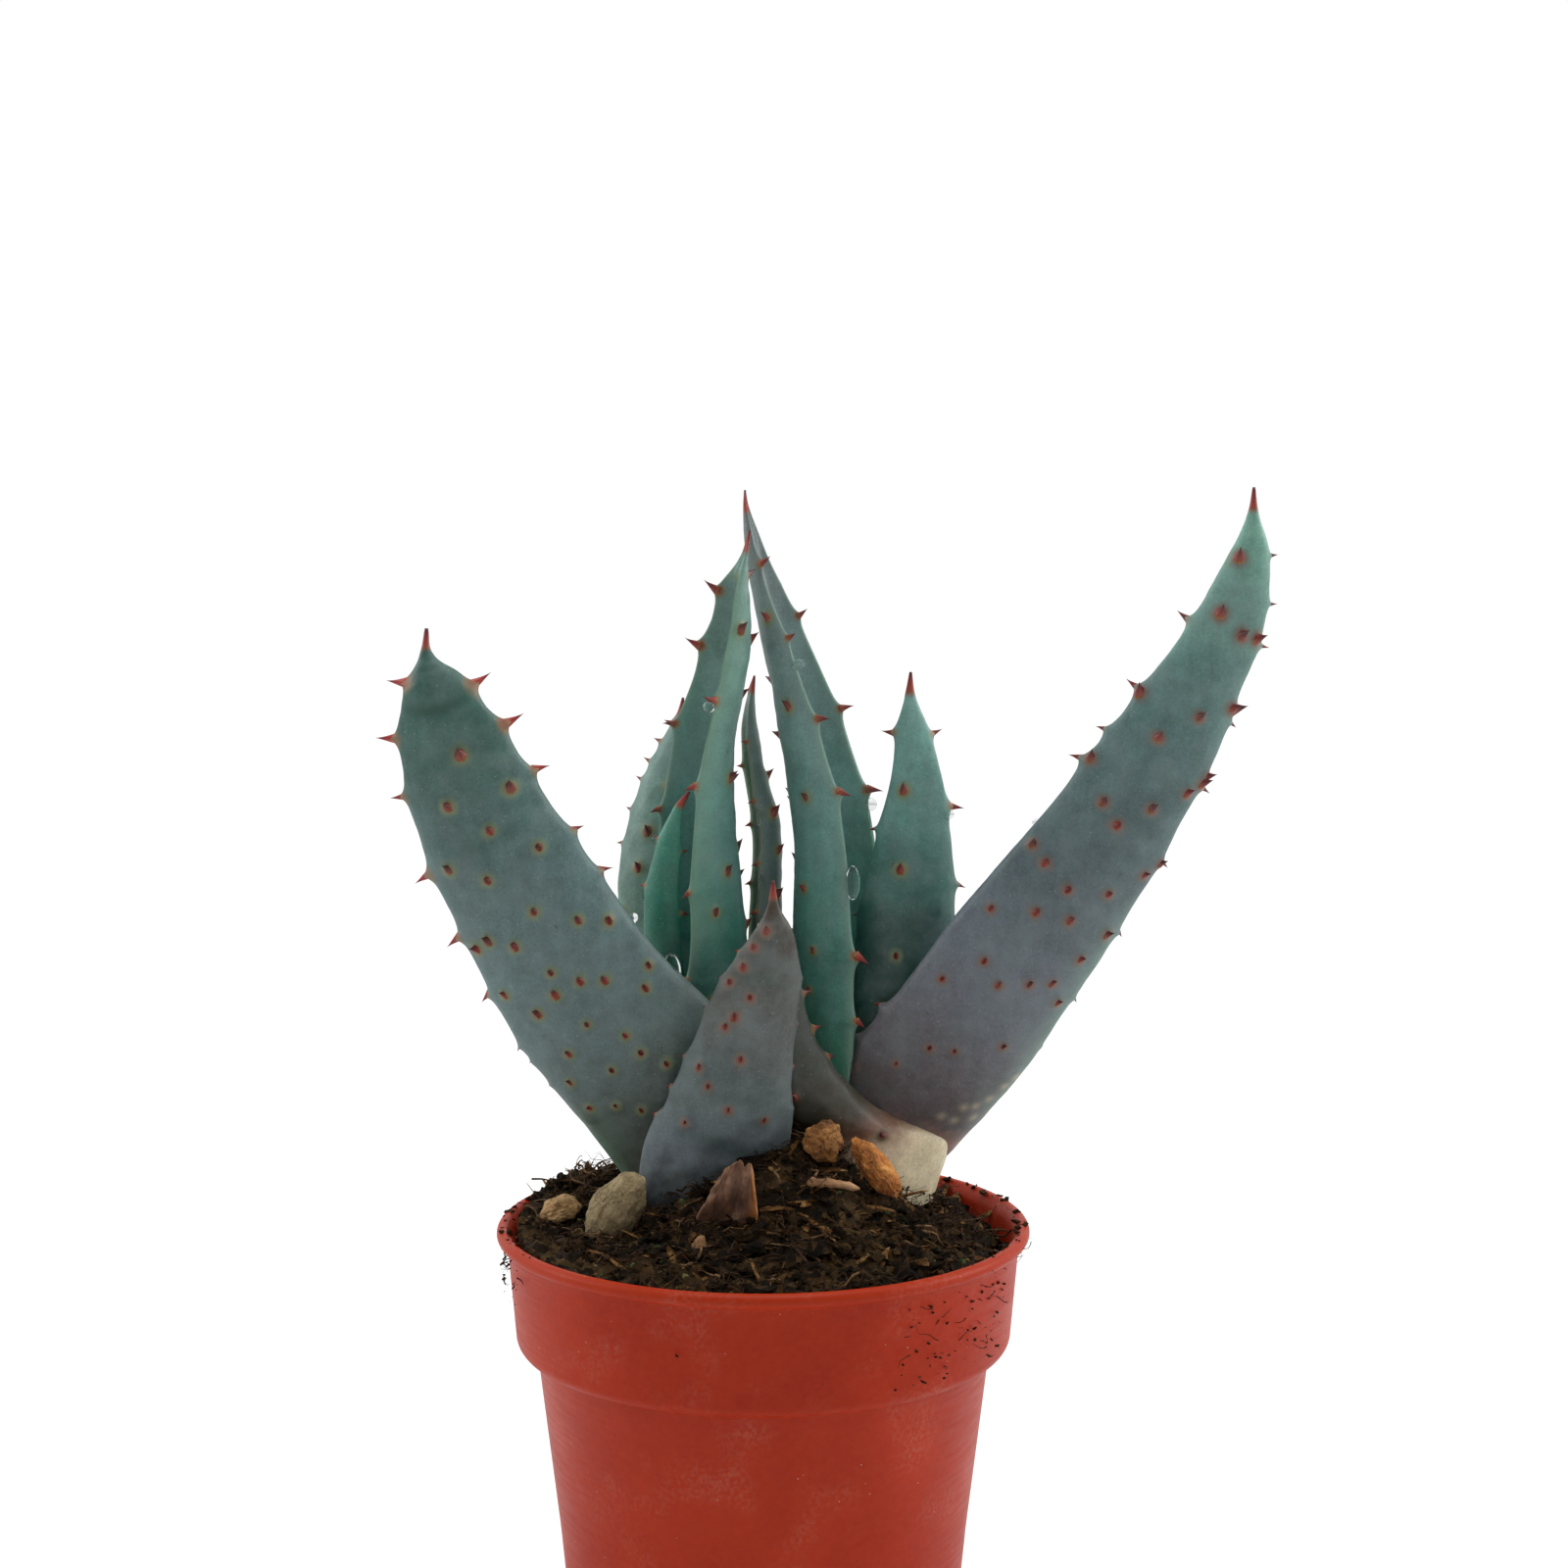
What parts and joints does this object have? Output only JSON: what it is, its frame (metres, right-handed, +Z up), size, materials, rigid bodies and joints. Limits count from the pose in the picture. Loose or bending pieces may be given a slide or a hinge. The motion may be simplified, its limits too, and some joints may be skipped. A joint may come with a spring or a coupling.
{
  "type": "potted aloe plant",
  "caption": "Young prickly aloe with two crowns of upright fleshy leaves, growing in a round nursery pot with a stacking band, filled with peat soil and a few stones.",
  "frame": {"origin": "centre of the pot's underside, on the surface that it stands on", "axes": "+Z up along the pot's axis, +X to the right and -Y towards the front, where the small front leaf is"},
  "size_m": [0.1333, 0.085, 0.1947],
  "materials": {
    "pot_plastic": "terracotta-coloured thin plastic, slightly glossy",
    "peat_soil": "dark fibrous peat, matte",
    "stem_flesh": "pale plant neck",
    "leaf_blue_green": "waxy bloom over blue-green flesh",
    "leaf_deep_green": "wet, glossy young leaf",
    "leaf_grey_purple": "waxy grey-purple old leaf",
    "leaf_pale_base": "grey-purple blade fading to a cream clasping base",
    "grey_stone": "dusty grey-tan stone",
    "tan_stone": "yellow-tan granule",
    "fired_clay": "porous orange clay granule",
    "dry_plant": "withered leaf scale and wood"
  },
  "bodies": {
    "root": {"pot": "pot_plastic", "soil": "peat_soil", "stem_left": "stem_flesh", "stem_right": "stem_flesh", "leaf_left_large": "leaf_grey_purple", "leaf_right_large": "leaf_grey_purple", "leaf_front_small": "leaf_grey_purple", "leaf_front_right": "leaf_pale_base", "leaf_centre_left": "leaf_blue_green", "leaf_centre_right": "leaf_blue_green", "leaf_right_short": "leaf_blue_green", "leaf_far_left": "leaf_blue_green", "leaf_inner_young": "leaf_grey_purple", "leaf_young_left": "leaf_deep_green", "pebble_grey": "grey_stone", "granule_yellow": "tan_stone", "chip_tan": "tan_stone", "clay_granule_round": "fired_clay", "clay_granule_long": "fired_clay", "withered_leaf_scale": "dry_plant", "wood_sliver": "dry_plant"}
  },
  "joints": []
}
